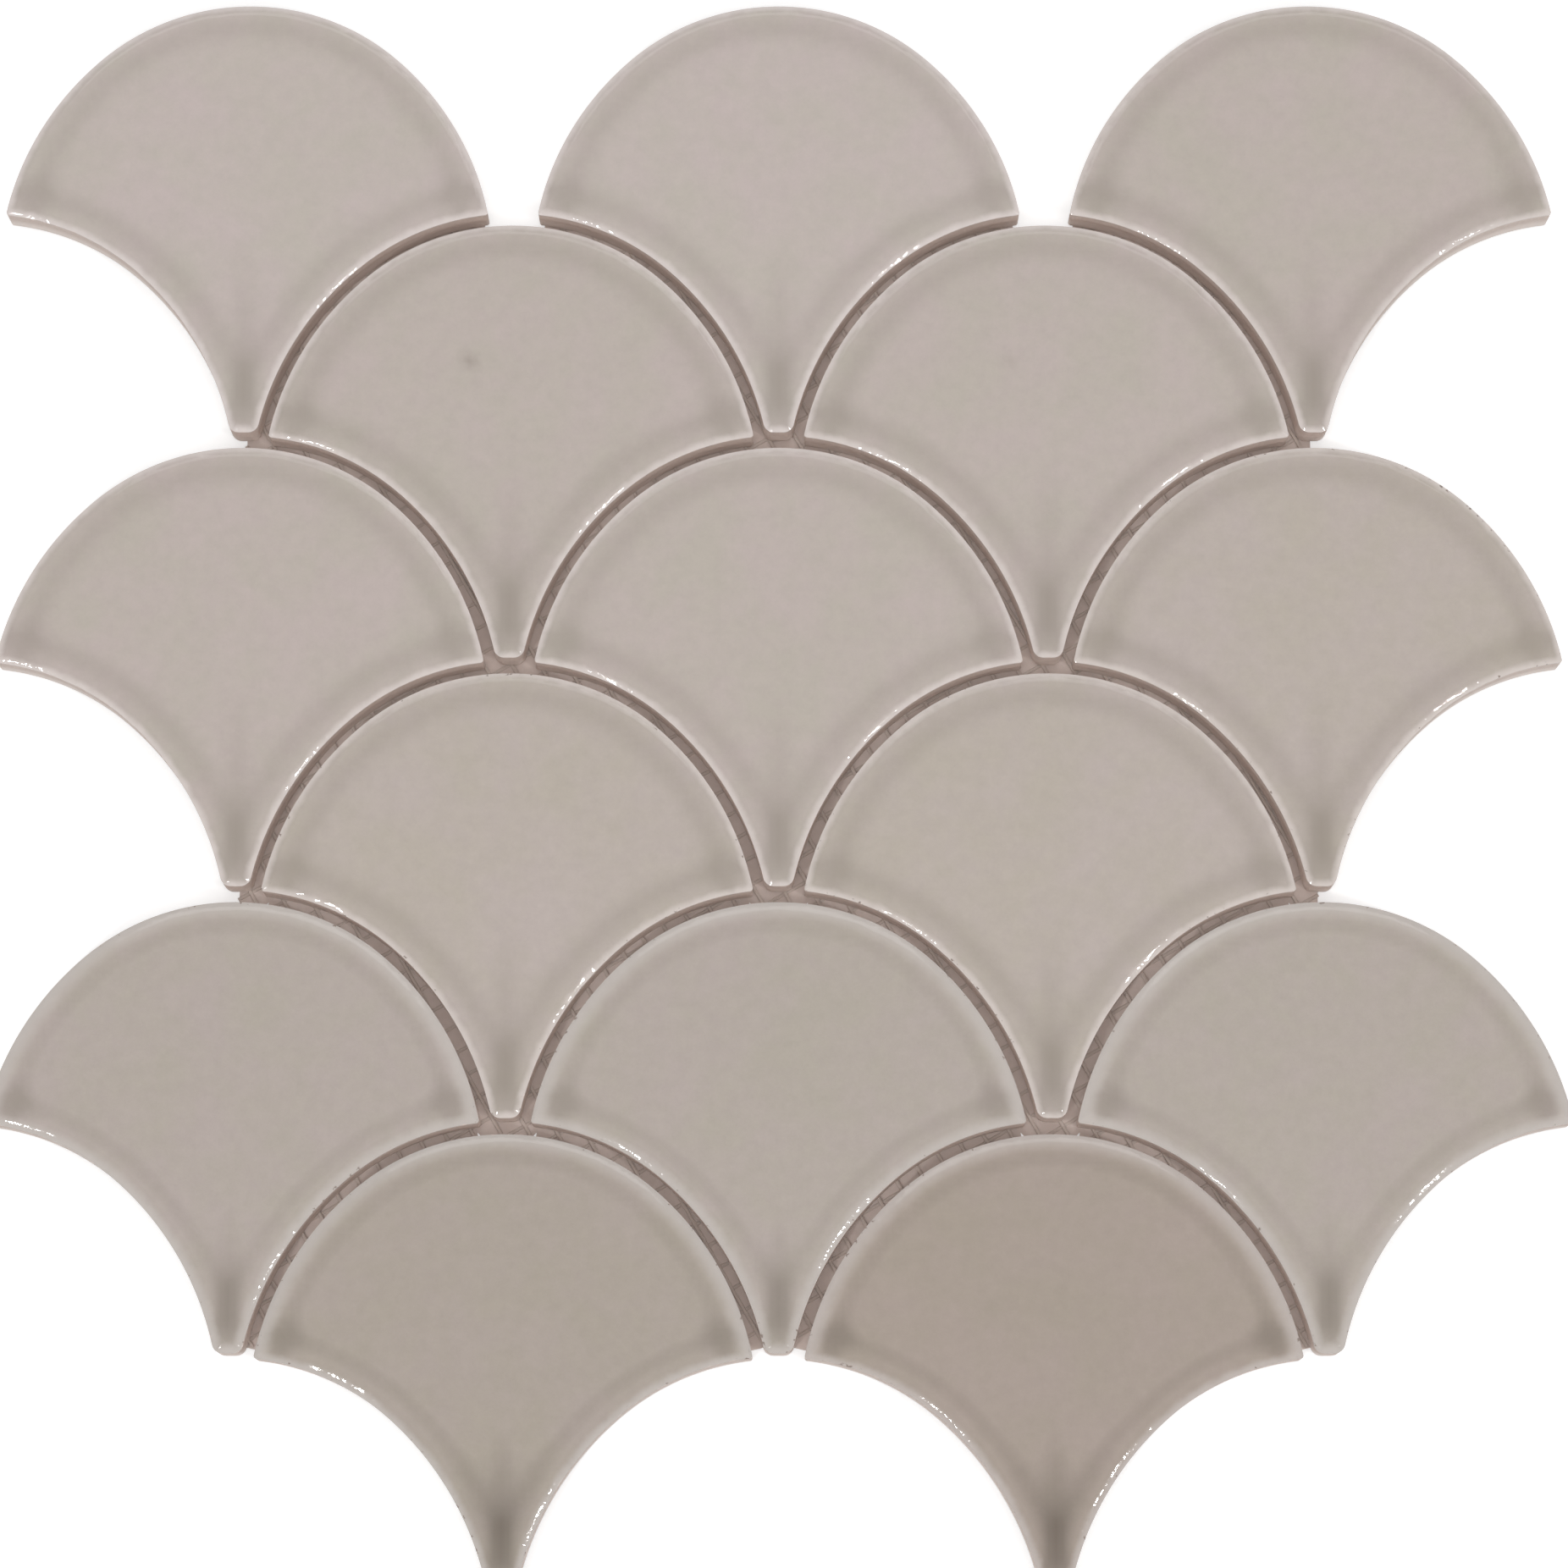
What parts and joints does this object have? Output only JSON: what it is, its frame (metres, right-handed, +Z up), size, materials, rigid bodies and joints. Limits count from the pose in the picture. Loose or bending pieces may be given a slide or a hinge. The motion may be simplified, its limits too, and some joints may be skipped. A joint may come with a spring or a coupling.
{
  "type": "fish scale tile",
  "caption": "Mosaic sheet of glossy taupe fan-shaped ceramic tiles in staggered, overlapping-scale rows, held with grout gaps on a fibreglass net.",
  "frame": {"origin": "centre of the sheet's underside, on the surface that it lies on", "axes": "+Z up out of the glazed faces, +Y towards the crowns of the scales, +X along the rows"},
  "size_m": [0.264, 0.2704, 0.0075],
  "materials": {
    "taupe_glazed_ceramic": "glossy taupe glaze, paler where it thins on the rim",
    "fibreglass_net": "coated fibreglass, pale grey"
  },
  "bodies": {
    "root": {"tile_r1_c1": "taupe_glazed_ceramic", "tile_r1_c2": "taupe_glazed_ceramic", "tile_r1_c3": "taupe_glazed_ceramic", "tile_r2_c1": "taupe_glazed_ceramic", "tile_r2_c2": "taupe_glazed_ceramic", "tile_r3_c1": "taupe_glazed_ceramic", "tile_r3_c2": "taupe_glazed_ceramic", "tile_r3_c3": "taupe_glazed_ceramic", "tile_r4_c1": "taupe_glazed_ceramic", "tile_r4_c2": "taupe_glazed_ceramic", "tile_r5_c1": "taupe_glazed_ceramic", "tile_r5_c2": "taupe_glazed_ceramic", "tile_r5_c3": "taupe_glazed_ceramic", "tile_r6_c1": "taupe_glazed_ceramic", "tile_r6_c2": "taupe_glazed_ceramic", "net_warp_strands": "fibreglass_net", "net_weft_strands": "fibreglass_net"}
  },
  "joints": []
}
